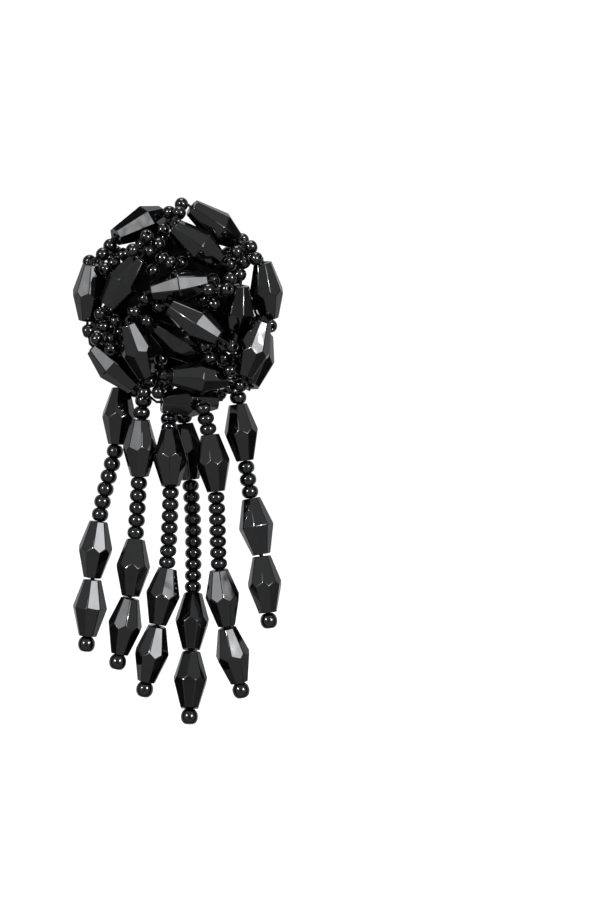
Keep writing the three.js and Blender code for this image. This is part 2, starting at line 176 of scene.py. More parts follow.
# Clusters of round beads: depth, where the thread is sewn down as a share of the disc's radius, and the
# places of the beads
CLUSTERS = {
    "top": (0.40, 0.9, [(0.06, 0.98), (-0.06, 0.90), (-0.04, 0.81), (0.04, 0.89), (-0.12, 0.73)]),
    "top_left": (0.40, 0.9, [(-0.64, 0.58), (-0.71, 0.49), (-0.51, 0.49), (-0.60, 0.40), (-0.68, 0.34)]),
    "upper": (
        0.62, 0,
        [(-0.16, 0.58), (-0.25, 0.51), (-0.12, 0.44), (-0.32, 0.58), (-0.04, 0.39), (0.06, 0.40),
         (-0.21, 0.32), (-0.40, 0.51), (-0.27, 0.65)],
    ),
    "top_right": (
        0.46, 0.9, [(0.74, 0.56), (0.79, 0.44), (0.67, 0.41), (0.60, 0.51), (0.53, 0.39), (0.63, 0.29)],
    ),
    "right": (
        0.76, 0,
        [(0.37, 0.23), (0.54, 0.24), (0.44, 0.12), (0.33, 0.12), (0.51, 0.13), (0.27, 0.04), (0.38, -0.01)],
    ),
    "middle": (0.70, 0, [(-0.29, 0.05), (-0.15, -0.03), (-0.39, -0.08), (-0.27, -0.17)]),
    "left": (
        0.44, 0.9,
        [(-0.73, -0.09), (-0.70, -0.22), (-0.85, -0.26), (-0.76, -0.34), (-0.62, -0.34), (-0.58, -0.16),
         (-0.54, -0.27), (-0.66, -0.05), (-0.62, -0.44)],
    ),
    "far_right": (0.42, 0.95, [(0.82, -0.145), (0.93, -0.21), (0.75, 0.0)]),
    "lower_right": (
        0.64, 0,
        [(0.47, -0.41), (0.56, -0.42), (0.35, -0.53), (0.47, -0.53), (0.54, -0.65), (0.30, -0.41),
         (0.57, -0.54)],
    ),
    "bottom_left": (
        0.46, 0.9, [(-0.25, -0.75), (-0.30, -0.86), (-0.16, -0.86), (-0.11, -0.69), (-0.14, -0.53)],
    ),
    "bottom_right": (0.40, 0.9, [(0.52, -0.81), (0.64, -0.79), (0.43, -0.87)]),
}

# Strands: bare thread, round beads above and below the first long bead, height that one takes up as a share
# of its width, rolls in degrees, twists in facets and leans in degrees of the three long beads, and the
# route's chosen points; lead and route are shares of the dome's radius
STRAND_GIRDLE = 0.5
STRANDS = [
    dict(name="strand_1", lead=0.275, top=0, drop=6, pitch=0.793,
         rolls=(-12, -17, 9), twists=(0.55, 0.5, 0.07), leans=(0, -2, -2),
         route=[(-0.381, -0.032, -0.577), (-0.524, -0.026, -0.81), (-0.593, -0.053, -1.376),
                (-0.746, -0.079, -2.037), (-0.889, -0.079, -3.386)]),
    dict(name="strand_2", lead=0.011, top=2, drop=5, pitch=0.754,
         rolls=(5, -19, 17), twists=(0.3, 0.53, 0.51), leans=(-4, 7, -5),
         route=[(-0.307, -0.222, -0.868), (-0.339, -0.249, -1.127), (-0.357, -0.249, -1.667),
                (-0.392, -0.259, -2.249), (-0.444, -0.259, -2.836), (-0.571, -0.259, -3.519)]),
    dict(name="strand_3", lead=0.05, top=3, drop=7, pitch=0.705,
         rolls=(2, 20, -16), twists=(0.5, 0.4, 0.5), leans=(0, 8, -1),
         route=[(-0.085, -0.07, -0.91), (-0.069, -0.15, -1.122), (-0.05, -0.36, -1.429),
                (-0.048, -0.381, -1.958), (-0.09, -0.33, -2.619), (-0.18, -0.28, -3.148),
                (-0.307, -0.22, -3.783)]),
    dict(name="strand_4", lead=0.237, top=2, drop=10, pitch=0.689,
         rolls=(0, -19, -20), twists=(0.5, 0.5, 0.42), leans=(0, 5, 5),
         route=[(0.042, -0.037, -0.698), (0.069, -0.032, -1.058), (0.138, -0.032, -1.746),
                (0.169, -0.09, -2.275), (0.138, -0.33, -4.021)]),
    dict(name="strand_5", lead=0.011, top=3, drop=7, pitch=0.669,
         rolls=(-17, 19, 20), twists=(0.5, 0.51, 0.33), leans=(3, -1, -5),
         route=[(0.265, -0.487, -0.952), (0.339, -0.402, -1.312), (0.402, -0.37, -1.905),
                (0.429, -0.34, -2.566), (0.503, -0.28, -3.138), (0.635, -0.22, -3.757)]),
    dict(name="strand_6", lead=0.011, top=1, drop=3, pitch=0.754,
         rolls=(-22, 4, -14), twists=(0.4, 0, 0.6), leans=(1, 2, 2),
         route=[(0.614, -0.212, -0.836), (0.614, -0.212, -0.974), (0.683, -0.201, -1.534),
                (0.741, -0.19, -1.905), (0.836, -0.185, -2.444), (0.91, -0.185, -3.069)]),
]

# Round beads further back than the clusters, near the disc, as shares of the dome's radius
BEHIND_OUT = 0.2
BEHIND = {
    "top": [(-0.19, 0.68), (-0.10, 0.67)],
    "top_left": [(-0.59, 0.52), (-0.63, 0.48), (-0.85, 0.43), (-0.77, 0.42), (-0.69, 0.26)],
    "top_right": [(0.51, 0.51), (0.63, 0.57), (0.65, 0.65), (0.70, 0.49), (0.60, 0.37)],
    "left": [(-0.78, -0.19), (-0.68, -0.14), (-0.66, -0.28), (-0.70, -0.35), (-0.79, -0.47), (-0.56, -0.41)],
    "bottom_left": [(-0.08, -0.78), (-0.35, -0.77), (-0.17, -0.76), (-0.20, -0.68), (-0.40, -0.84)],
    "lower_right": [(0.43, -0.59), (0.61, -0.71)],
}

ALONG = Vector((0, 0, 1))
FACE = Vector((0, -1, 0))


# Materials

def new_material(name, **sockets):
    """A node material whose shader has these constant values, its nodes, its shader and a link function."""
    material = bpy.data.materials.new(name)
    material.use_nodes = True
    tree = material.node_tree
    shader = tree.nodes["Principled BSDF"]
    for socket, value in sockets.items():
        shader.inputs[socket.replace("_", " ")].default_value = value
    return material, tree.nodes, shader, tree.links.new


def object_noise(nodes, link, scale, detail, stretch=(1, 1, 1)):
    """Noise in the object's own coordinates, with its scale in features a metre."""
    place = nodes.new("ShaderNodeTexCoord")
    mapping = nodes.new("ShaderNodeMapping")
    mapping.inputs["Scale"].default_value = stretch
    noise = nodes.new("ShaderNodeTexNoise")
    noise.inputs["Scale"].default_value = scale
    noise.inputs["Detail"].default_value = detail
    link(place.outputs["Object"], mapping.inputs["Vector"])
    link(mapping.outputs["Vector"], noise.inputs["Vector"])
    return noise.outputs["Fac"]


def ranged(nodes, link, source, low, high):
    """A noise value spread between two values."""
    spread = nodes.new("ShaderNodeMapRange")
    spread.inputs["From Min"].default_value = NOISE_LOW
    spread.inputs["From Max"].default_value = NOISE_HIGH
    spread.inputs["To Min"].default_value = low
    spread.inputs["To Max"].default_value = high
    link(source, spread.inputs["Value"])
    return spread.outputs["Result"]


def mixed(nodes, link, source, dark, light):
    """Two colours mixed by a noise value."""
    ramp = nodes.new("ShaderNodeValToRGB")
    ramp.color_ramp.elements[0].position = NOISE_LOW
    ramp.color_ramp.elements[1].position = NOISE_HIGH
    ramp.color_ramp.elements[0].color = (*dark, 1)
    ramp.color_ramp.elements[1].color = (*light, 1)
    link(source, ramp.inputs["Fac"])
    return ramp.outputs["Color"]


def bumped(nodes, link, shader, heights):
    """Stacks bumps, each a height source, a depth in metres and a strength, onto the shader's normal."""
    last = None
    for source, depth, strength in heights:
        bump = nodes.new("ShaderNodeBump")
        bump.inputs["Distance"].default_value = depth
        bump.inputs["Strength"].default_value = strength
        link(source, bump.inputs["Height"])
        if last:
            link(last, bump.inputs["Normal"])
        last = bump.outputs["Normal"]
    link(last, shader.inputs["Normal"])


def jet_glass(name, wave, polish):
    """Opaque black glass: polished, with slightly wavy faces and faint smears."""
    material, nodes, shader, link = new_material(name, IOR=1.56)
    smears = object_noise(nodes, link, 420, 3)
    colour = mixed(nodes, link, smears, (0.0004, 0.0004, 0.0005), (0.001, 0.001, 0.0012))
    link(colour, shader.inputs["Base Color"])
    link(ranged(nodes, link, smears, polish, polish + 0.05), shader.inputs["Roughness"])
    waves = object_noise(nodes, link, 300, 1)
    grain = object_noise(nodes, link, 6000, 1)
    bumped(nodes, link, shader, [(waves, wave, 1.0), (grain, 0.0000006, 0.5)])
    return material


def thread_material():
    """Black waxed thread with its twist."""
    material, nodes, shader, link = new_material(
        "thread_black", IOR=1.3, Sheen_Weight=0.04, Sheen_Roughness=0.4)
    fibre = object_noise(nodes, link, 5200, 3, (1, 1, 0.35))
    colour = mixed(nodes, link, fibre, (0.0005, 0.0005, 0.0005), (0.003, 0.003, 0.0033))
    link(colour, shader.inputs["Base Color"])
    link(ranged(nodes, link, fibre, 0.5, 0.75), shader.inputs["Roughness"])
    bumped(nodes, link, shader, [(fibre, 0.00004, 0.8)])
    return material


def disc_material():
    """Matt black moulded plastic with a fine grain."""
    material, nodes, shader, link = new_material("disc_black", IOR=1.12)
    grain = object_noise(nodes, link, 3500, 4)
    patches = object_noise(nodes, link, 180, 3)
    colour = mixed(nodes, link, patches, (0.0002, 0.0002, 0.0002), (0.001, 0.001, 0.0011))
    link(colour, shader.inputs["Base Color"])
    link(ranged(nodes, link, patches, 0.45, 0.62), shader.inputs["Roughness"])
    bumped(nodes, link, shader, [(grain, 0.00002, 0.6)])
    return material


def steel_material():
    """Bright turned steel with fine rings and light wear."""
    material, nodes, shader, link = new_material("post_steel", Metallic=1.0, IOR=2.5)
    wear = object_noise(nodes, link, 500, 3)
    turned = object_noise(nodes, link, 9000, 2, (0.05, 1, 0.05))
    link(mixed(nodes, link, wear, (0.50, 0.51, 0.53), (0.66, 0.66, 0.68)), shader.inputs["Base Color"])
    link(ranged(nodes, link, wear, 0.18, 0.34), shader.inputs["Roughness"])
    bumped(nodes, link, shader, [(turned, 0.000004, 0.5)])
    return material


FACETED = jet_glass("jet_faceted", 0.00005, 0.02)
ROUND = jet_glass("jet_round", 0.000008, 0.02)
THREAD = thread_material()


# Shapes: each is its corners, its faces, and for each face whether it is smooth, laid along +Z

def turned(profile, sides):
    """A closed shape turned on +Z, from its radii and heights; a radius of nought closes an end."""
    corners = []
    rings = []
    for radius, height in profile:
        if radius == 0:
            rings.append([len(corners)])
            corners.append((0, 0, height))
            continue
        rings.append(list(range(len(corners), len(corners) + sides)))
        for i in range(sides):
            angle = 2 * math.pi * i / sides
            corners.append((radius * math.cos(angle), radius * math.sin(angle), height))
    faces = []
    for low, high in zip(rings, rings[1:]):
        for i in range(sides):
            j = (i + 1) % sides
            face = [low[i % len(low)], low[j % len(low)], high[j % len(high)], high[i % len(high)]]
            faces.append(list(dict.fromkeys(face)))
    return np.array(corners, float), faces, [True] * len(faces)


def round_bead(width, height):
    """A round bead with a hole through it, as a closed ring."""
    inner = SEED_HOLE / 2
    swell = width / 2 - inner
    outline = []
    for i in range(ROUND_RINGS + 1):
        angle = math.pi * (i / ROUND_RINGS - 0.5)
        radius = inner + swell * math.cos(angle) ** ROUND_SWELL_POWER
        outline.append((radius, height / 2 * math.sin(angle)))
    lip = ROUND_LIP_SHARE * height
    outline += [(inner, height / 2 - lip), (inner, -height / 2 + lip)]
    corners = []
    for radius, level in outline:
        for i in range(ROUND_SIDES):
            angle = 2 * math.pi * i / ROUND_SIDES
            corners.append((radius * math.cos(angle), radius * math.sin(angle), level))
    faces = []
    for k in range(len(outline)):
        ring = k * ROUND_SIDES
        after = (k + 1) % len(outline) * ROUND_SIDES
        for i in range(ROUND_SIDES):
            j = (i + 1) % ROUND_SIDES
            faces.append([ring + i, ring + j, after + j, after + i])
    return np.array(corners, float), faces, [True] * len(faces)


def long_bead(twist, girdle):
    """A faceted bead with its bore, cut plane by plane and softened at the edges."""
    step = 2 * math.pi / FACETS
    tip = LONG_BEAD_TIP_WIDTH / 2
    widest = LONG_BEAD_WIDTH / 2
    half = LONG_BEAD_LENGTH / 2
    form = bmesh.new()
    bmesh.ops.create_cube(form, size=4 * LONG_BEAD_LENGTH)
    planes = [(Vector((0, 0, half)), Vector((0, 0, 1))), (Vector((0, 0, -half)), Vector((0, 0, -1)))]
    for side, share, start in ((1, 1 - girdle, 0.0), (-1, girdle, -twist * step)):
        slope = (widest - tip) / (share * LONG_BEAD_LENGTH)
        for i in range(FACETS):
            angle = start + (i + 0.5) * step
            out = Vector((math.cos(angle), math.sin(angle), 0))
            planes.append((out * tip + Vector((0, 0, side * half)), out + Vector((0, 0, side * slope))))
    for place, normal in planes:
        everything = form.verts[:] + form.edges[:] + form.faces[:]
        cut = bmesh.ops.bisect_plane(
            form, geom=everything, dist=1e-6, plane_co=place, plane_no=normal, clear_outer=True)
        edges = [part for part in cut["geom_cut"] if isinstance(part, bmesh.types.BMEdge)]
        bmesh.ops.contextual_create(form, geom=edges)
    bmesh.ops.dissolve_limit(form, angle_limit=FLAT_ANGLE, verts=form.verts[:], edges=form.edges[:])
    ends = [face for face in form.faces if abs(face.normal.z) > 0.99]
    bmesh.ops.inset_individual(form, faces=ends, thickness=tip - LONG_BEAD_BORE / 2, depth=0)
    for face in ends:
        inward = -face.normal * BORE_DEPTH_SHARE * LONG_BEAD_LENGTH
        pushed = bmesh.ops.extrude_face_region(form, geom=[face])
        moved = [part for part in pushed["geom"] if isinstance(part, bmesh.types.BMVert)]
        bmesh.ops.translate(form, vec=inward, verts=moved)
    bmesh.ops.delete(form, geom=[face for face in ends if face.is_valid], context="FACES")
    sharp = [edge for edge in form.edges
             if len(edge.link_faces) == 2 and edge.calc_face_angle() > SHARP_ANGLE]
    # The edges at the bore's inner end stay as they are
    bore_end = 0.45 * half
    seams = [edge for edge in sharp if max(abs(corner.co.z) for corner in edge.verts) > bore_end
             or min(edge.verts[0].co.xy.length, edge.verts[1].co.xy.length) > tip]
    bevelled = bmesh.ops.bevel(
        form, geom=seams, offset=EDGE_BEVEL, segments=EDGE_STEPS, profile=0.5, affect="EDGES",
        clamp_overlap=True)
    for face in form.faces:
        face.smooth = False
    for face in bevelled["faces"]:
        face.smooth = True
    bmesh.ops.recalc_face_normals(form, faces=form.faces[:])
    form.verts.index_update()
    corners = np.array([corner.co[:] for corner in form.verts], float)
    faces = [[corner.index for corner in face.verts] for face in form.faces]
    smooth = [face.smooth for face in form.faces]
    form.free()
    return corners, faces, smooth


def tube(points, width):
    """A round string through these points, closed at both ends."""
    sides = STRING_SIDES
    points = [Vector(point) for point in points]
    corners = []
    side = None
    for i, point in enumerate(points):
        way = (points[min(i + 1, len(points) - 1)] - points[max(i - 1, 0)]).normalized()
        side = way.orthogonal() if side is None else side - way * side.dot(way)
        side.normalize()
        other = way.cross(side)
        for k in range(sides):
            angle = 2 * math.pi * k / sides
            corners.append(point + (side * math.cos(angle) + other * math.sin(angle)) * width / 2)
    faces = []
    for i in range(len(points) - 1):
        for k in range(sides):
            j = (k + 1) % sides
            faces.append([i * sides + k, i * sides + j, (i + 1) * sides + j, (i + 1) * sides + k])
    faces.append(list(range(sides))[::-1])
    faces.append([(len(points) - 1) * sides + k for k in range(sides)])
    smooth = [True] * (len(faces) - 2) + [False] * 2
    return np.array([corner[:] for corner in corners], float), faces, smooth


class Piece:
    """Collects shapes with their materials and makes them one object."""

    def __init__(self, name, materials):
        self.name = name
        self.materials = materials
        self.corners = []
        self.faces = []
        self.smooth = []
        self.looks = []
        self.count = 0

    def add(self, shape, look, middle=Vector(), turn=Quaternion()):
        """Adds a shape in one of the piece's materials, turned and then moved to its middle."""
        corners, faces, smooth = shape
        rotation = np.array(turn.to_matrix())
        self.corners.append(corners @ rotation.T + np.array(middle))
        self.faces += [[corner + self.count for corner in face] for face in faces]
        self.smooth += smooth
        self.looks += [self.materials.index(look)] * len(faces)
        self.count += len(corners)

    def make(self, slot, *nodes):
        """Makes the object, which replaces these nodes, on the body root."""
        mesh = bpy.data.meshes.new(self.name)
        mesh.from_pydata((np.concatenate(self.corners) * MM).tolist(), [], self.faces)
        for material in self.materials:
            mesh.materials.append(material)
        mesh.polygons.foreach_set("use_smooth", self.smooth)
        mesh.polygons.foreach_set("material_index", self.looks)
        mesh.validate()
        mesh.update()
        piece = bpy.data.objects.new(self.name, mesh)
        bpy.context.scene.collection.objects.link(piece)
        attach(piece, "root")
        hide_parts(*nodes)


def turn_along(axis, roll=0.0):
    """The turn that lays +Z along an axis with +X towards the face, then rolls the shape on that axis."""
    side = axis.cross(FACE).normalized()
    front = side.cross(axis)
    basis = Matrix((front, side, axis)).transposed()
    return basis.to_quaternion() @ Quaternion(ALONG, roll)


# Dome: every bead is placed by the table and then moved in depth until it is clear of the others

def dome_place(across, up, out):
    """A place from its shares of the dome's radius and depth."""
    return Vector((across * DOME_RADIUS, -out * DOME_DEPTH, up * DOME_RADIUS))


def distance_to_long_bead(place, bead):
    """Distance from a place to a long bead's surface, taken as a round double cone."""
    offset = place - bead["middle"]
    along = offset.dot(bead["axis"])
    away = math.sqrt(max(offset.length_squared - along * along, 0))
    half = LONG_BEAD_LENGTH / 2
    tip = LONG_BEAD_TIP_WIDTH / 2
    slope = (LONG_BEAD_WIDTH / 2 - tip) / half
    from_cone = (away - tip - slope * (half - abs(along))) / math.hypot(1, slope)
    from_end = abs(along) - half
    if from_end > 0 and away > tip:
        return math.hypot(from_end, away - tip)
    return max(from_cone, from_end)


def balls_in_long_bead(middle, axis):
    """Balls that fill a long bead from end to end."""
    half = LONG_BEAD_LENGTH / 2
    tip = LONG_BEAD_TIP_WIDTH / 2
    balls = []
    for i in range(-BALL_STEPS, BALL_STEPS + 1):
        along = (half - tip) * i / BALL_STEPS
        radius = tip + (LONG_BEAD_WIDTH / 2 - tip) * (1 - abs(along) / half)
        balls.append((middle + axis * along, radius))
    return balls


def clear_of_long_beads(balls, beads):
    """Whether every ball keeps the clearance to every long bead."""
    return all(
        distance_to_long_bead(place, bead) > radius + CLEARANCE for place, radius in balls for bead in beads)


def settle(is_clear):
    """The smallest shift towards or away from the face that is clear."""
    for i in range(int(DOME_DEPTH / SETTLE_STEP)):
        for way in (1, -1):
            move = FACE * (way * i * SETTLE_STEP)
            if is_clear(move):
                return move
    return Vector()


long_beads = []
for row in DOME_BEADS:
    bead = dict(zip(DOME_COLUMNS, row))
    heading = math.radians(bead["heading"])
    tilt = math.radians(bead["tilt"])
    axis = Vector(
        (math.cos(heading) * math.cos(tilt), -math.sin(tilt), math.sin(heading) * math.cos(tilt)))
    place = dome_place(bead["across"], bead["up"], bead["out"])
    move = settle(lambda shift: clear_of_long_beads(balls_in_long_bead(place + shift, axis), long_beads))
    long_beads.append({**bead, "axis": axis, "middle": place + move})


def settled_seed(cluster, place, others):
    """A round bead of a cluster, moved clear of the long beads and of the other round ones."""
    radius = DOME_SEED_WIDTH / 2

    def is_clear(shift):
        middle = place + shift
        gaps = [
            (middle - seed["middle"]).length - 2 * radius - (0 if seed["cluster"] == cluster else CLEARANCE)
            for seed in others]
        return clear_of_long_beads([(middle, radius)], long_beads) and all(gap > 0 for gap in gaps)

    return {"cluster": cluster, "middle": place + settle(is_clear)}


seeds = []
for cluster, (out, _, places) in CLUSTERS.items():
    for across, up in places:
        seeds.append(settled_seed(cluster, dome_place(across, up, out), seeds))

rear_seeds = []
for cluster, places in BEHIND.items():
    for across, up in places:
        rear_seeds.append(settled_seed(cluster, dome_place(across, up, BEHIND_OUT), seeds + rear_seeds))


def links(own):
    """Pairs of nearest beads that join a cluster."""
    joined = [own[0]]
    left = own[1:]
    pairs = []
    while left:
        start, end = min(((a, b) for a in joined for b in left), key=lambda two: (two[0] - two[1]).length)
        pairs.append((start, end))
        joined.append(end)
        left.remove(end)
    return pairs


long_bead_shapes = {}


def long_bead_shape(twist, girdle):
    """A long bead's shape, made once for each twist and girdle."""
    key = (twist, girdle)
    if key not in long_bead_shapes:
        long_bead_shapes[key] = long_bead(twist, girdle)
    return long_bead_shapes[key]


for bead in long_beads:
    piece = Piece("bead_" + bead["name"], [FACETED])
    turn = turn_along(bead["axis"], math.radians(bead["roll"]))
    piece.add(long_bead_shape(bead["twist"], bead["girdle"]), FACETED, bead["middle"], turn)
    piece.make("jet_bead", "dome_bead_" + bead["name"])

dome_seed = round_bead(DOME_SEED_WIDTH + DOME_SEED_WIDER, DOME_SEED_HEIGHT)

for cluster, (_, sewn, _) in CLUSTERS.items():
    own = [seed["middle"] for seed in seeds if seed["cluster"] == cluster]
    piece = Piece("seeds_" + cluster, [ROUND, THREAD])
    pairs = links(own)
    for middle in own:
        start, end = next(pair for pair in pairs if middle in pair)
        piece.add(dome_seed, ROUND, middle, turn_along((end - start).normalized()))
    for start, end in pairs:
        piece.add(tube([start, end], STRING_WIDTH), THREAD)
    for seed in rear_seeds:
        if seed["cluster"] == cluster:
            hold = min(own, key=lambda middle: (middle - seed["middle"]).length)
            piece.add(dome_seed, ROUND, seed["middle"], turn_along((hold - seed["middle"]).normalized()))
            piece.add(tube([seed["middle"], hold], STRING_WIDTH), THREAD)
    for bead in long_beads:
        for way in (-1, 1):
            outward = bead["axis"] * way
            mouth = bead["middle"] + outward * (LONG_BEAD_LENGTH / 2 + DOME_SEED_HEIGHT / 2)
            nearest = min(seeds, key=lambda seed: (seed["middle"] - mouth).length)
            if nearest["cluster"] != cluster:
                continue
            inner = bead["middle"] + outward * CLEARANCE / 2
            bend = bead["middle"] + outward * (LONG_BEAD_LENGTH / 2 + 1.5 * THREAD_WIDTH)
            piece.add(tube([inner, bend, nearest["middle"]], STRING_WIDTH), THREAD)
    if sewn > 0:
        rearmost = max(own, key=lambda middle: middle.y)
        outward = Vector((rearmost.x, 0, rearmost.z))
        on_disc = outward.normalized() * min(sewn * DISC_WIDTH / 2, outward.length)
        on_disc.y = -DISC_THICKNESS - CLEARANCE
        piece.add(tube([rearmost, on_disc], STRING_WIDTH), THREAD)
    piece.make("jet_string", "dome_seeds_" + cluster)


# Strands

def spread_route(points):
    """A centripetal curve through the chosen points, as close points with their distances from the start."""
    given = [points[0] * 2 - points[1], *points, points[-1] * 2 - points[-2]]
    line = []
    for before, start, end, after in zip(given, given[1:], given[2:], given[3:]):
        stretches = ((before, start), (start, end), (end, after))
        gaps = [max((b - a).length, LEAST_GAP) ** 0.5 for a, b in stretches]
        leave = ((start - before) / gaps[0] - (end - before) / (gaps[0] + gaps[1]) + (end - start) / gaps[1])
        arrive = ((end - start) / gaps[1] - (after - start) / (gaps[1] + gaps[2]) + (after - end) / gaps[2])
        leave *= gaps[1]
        arrive *= gaps[1]
        for i in range(ROUTE_STEPS):
            t = i / ROUTE_STEPS
            line.append(
                start + leave * t + (start * -3 + end * 3 - leave * 2 - arrive) * t ** 2
                + (start * 2 - end * 2 + leave + arrive) * t ** 3)
    line.append(given[-2])
    line = np.array([point[:] for point in line])
    distance = np.concatenate([[0], np.cumsum(np.linalg.norm(np.diff(line, axis=0), axis=1))])
    return line, distance


class Route:
    """Places and directions along a strand; past the end of its route the strand hangs straight on."""

    def __init__(self, points):
        self.line, self.distance = spread_route(points)

    def on_line(self, distance):
        """The place on the line at a distance from its start."""
        return Vector([float(np.interp(distance, self.distance, self.line[:, k])) for k in range(3)])

    def point(self, distance):
        inside = min(max(distance, 0), self.distance[-1])
        return self.on_line(inside) + self.way(inside) * (distance - inside)

    def way(self, distance):
        inside = min(max(distance, WAY_REACH), self.distance[-1] - WAY_REACH)
        return (self.on_line(inside + WAY_REACH) - self.on_line(inside - WAY_REACH)).normalized()


strand_seeds = {}
ball = round_bead(BALL_WIDTH, BALL_HEIGHT + BALL_HIGHER)

for strand in STRANDS:
    route = Route([Vector(point) * DOME_RADIUS for point in strand["route"]])
    piece = Piece("string_" + strand["name"][-1], [FACETED, ROUND, THREAD])
    used = strand["lead"] * DOME_RADIUS
    pitch = strand["pitch"] * SEED_WIDTH
    if pitch not in strand_seeds:
        strand_seeds[pitch] = round_bead(SEED_WIDTH + SEED_WIDER, pitch * SEED_HEIGHT_SHARE)
    string = [("seed", 0)] * strand["top"] + [("long", 0)] + [("seed", 0)] * strand["drop"]
    string += [("long", 1), ("gap", 0), ("long", 2), ("ball", 0)]
    before = "seed"
    for kind, index in string:
        if kind != before and "long" in (kind, before) and "gap" not in (kind, before):
            used += NECK
        before = kind
        if kind == "gap":
            used += CLEARANCE
        if kind == "seed":
            middle = used + pitch / 2
            piece.add(strand_seeds[pitch], ROUND, route.point(middle), turn_along(route.way(middle)))
            used += pitch
        if kind == "long":
            middle = used + LONG_BEAD_LENGTH / 2
            lean = math.radians(strand["leans"][index])
            axis = (route.way(middle) * math.cos(lean) + FACE * math.sin(lean)).normalized()
            turn = turn_along(axis, math.radians(strand["rolls"][index]))
            shape = long_bead_shape(strand["twists"][index], STRAND_GIRDLE)
            piece.add(shape, FACETED, route.point(middle), turn)
            used += LONG_BEAD_LENGTH
        if kind == "ball":
            middle = used + BALL_HEIGHT / 2
            piece.add(ball, ROUND, route.point(middle), turn_along(route.way(middle)))
            used += BALL_HEIGHT
    stretch = [route.point(distance) for distance in np.arange(0, used - STRING_STOPS_BEFORE, STRING_STEP)]
    piece.add(tube(stretch, STRAND_STRING_WIDTH), THREAD)
    piece.make("jet_string", strand["name"])


# Disc and post

def ring_form(name, profile, sides, material, slot, node):
    """A body turned on the post's axis, from radii and distances behind the disc's back."""
    piece = Piece(name, [material])
    piece.add(turned(profile, sides), material, Vector(), Quaternion((1, 0, 0), math.radians(-90)))
    piece.make(slot, node)


def rounded(radius, low, high, lip):
    """The outline of a plate's edge, from one face to the other, with both corners rounded."""
    turns = [math.pi / 2 * (i / CORNER_STEPS) for i in range(CORNER_STEPS + 1)]
    start = [(radius - lip + lip * math.sin(turn), low + lip - lip * math.cos(turn)) for turn in turns]
    end = [(radius - lip + lip * math.cos(turn), high - lip + lip * math.sin(turn)) for turn in turns]
    return start + end


disc_edge = rounded(DISC_WIDTH / 2, -DISC_THICKNESS, 0, DISC_LIP)
rim_inside = DISC_WIDTH / 2 - RIM_WIDTH
disc_profile = [
    (0, -DISC_THICKNESS), *disc_edge, (rim_inside, 0), (rim_inside - RIM_DEPTH, -RIM_DEPTH), (0, -RIM_DEPTH)]
ring_form("disc_back", disc_profile, DISC_SIDES, disc_material(), "backing", "backing_disc")

post_radius = POST_WIDTH / 2
notch_radius = post_radius - NOTCH_DEPTH
notch_at = POST_LENGTH - NOTCH_FROM_TIP
pad_top = CLEARANCE + PAD_THICKNESS
bend = FILLET_BEND_SHARE * POST_FILLET
pad_edge = rounded(PAD_WIDTH / 2, CLEARANCE, pad_top, PAD_LIP)
fillet_points = [
    (post_radius + POST_FILLET, pad_top),
    (post_radius + bend, pad_top + bend),
    (post_radius, pad_top + POST_FILLET),
]
notch_points = [
    (post_radius, notch_at - NOTCH_TOP_HALF), (notch_radius, notch_at - NOTCH_BOTTOM_HALF),
    (notch_radius, notch_at + NOTCH_BOTTOM_HALF), (post_radius, notch_at + NOTCH_TOP_HALF),
]
tip_points = [(share * post_radius, POST_LENGTH - before_end) for share, before_end in TIP_OUTLINE]
post_profile = [(0, CLEARANCE), *pad_edge, *fillet_points, *notch_points, *tip_points]
ring_form("post_pin", post_profile, POST_SIDES, steel_material(), "post", "ear_post")


# Stage: a pale floor, a white surround that only the camera sees, and soft studio light; lengths in metres

def stage_object(name, shape, material):
    """A stage object from a shape in metres."""
    corners, faces, _ = shape
    mesh = bpy.data.meshes.new(name)
    mesh.from_pydata(corners.tolist(), [], faces)
    mesh.materials.append(material)
    thing = bpy.data.objects.new(name, mesh)
    bpy.context.scene.collection.objects.link(thing)
    return thing


floor_paint, floor_nodes, floor_shader, floor_link = new_material("floor_white", Roughness=0.9)
floor_grain = object_noise(floor_nodes, floor_link, 40, 3)
floor_link(
    mixed(floor_nodes, floor_link, floor_grain, (0.90, 0.90, 0.90), (0.93, 0.93, 0.93)),
    floor_shader.inputs["Base Color"])
floor_shader.inputs["Specular IOR Level"].default_value = 0
floor = stage_object("floor", turned([(0, 0), (STAGE_RADIUS, 0)], STAGE_SIDES), floor_paint)
floor.location.z = -FLOOR_BELOW
floor.visible_glossy = False

# A soft light from straight above keeps the floor pale
overhead_data = bpy.data.lights.new("overhead", "SUN")
overhead_data.energy = 1.5
overhead_data.angle = math.radians(30)
overhead_data.specular_factor = 0
overhead = bpy.data.objects.new("overhead", overhead_data)
bpy.context.scene.collection.objects.link(overhead)

wall_paint, _, wall_shader, _ = new_material("surround_white")
wall_shader.inputs["Base Color"].default_value = (0, 0, 0, 1)
wall_shader.inputs["Emission Color"].default_value = (1, 1, 1, 1)
wall_shader.inputs["Emission Strength"].default_value = 1.0
wall_profile = [(STAGE_RADIUS, -FLOOR_BELOW), (STAGE_RADIUS, STAGE_RADIUS), (0, STAGE_RADIUS)]
wall = stage_object("surround", turned(wall_profile, STAGE_SIDES), wall_paint)
for sense in ("diffuse", "glossy", "transmission", "volume_scatter", "shadow"):
    setattr(wall, "visible_" + sense, False)

world = bpy.data.worlds.new("studio")
bpy.context.scene.world = world
world.use_nodes = True
world_nodes = world.node_tree.nodes
world_link = world.node_tree.links.new
direction = world_nodes.new("ShaderNodeTexCoord").outputs["Generated"]


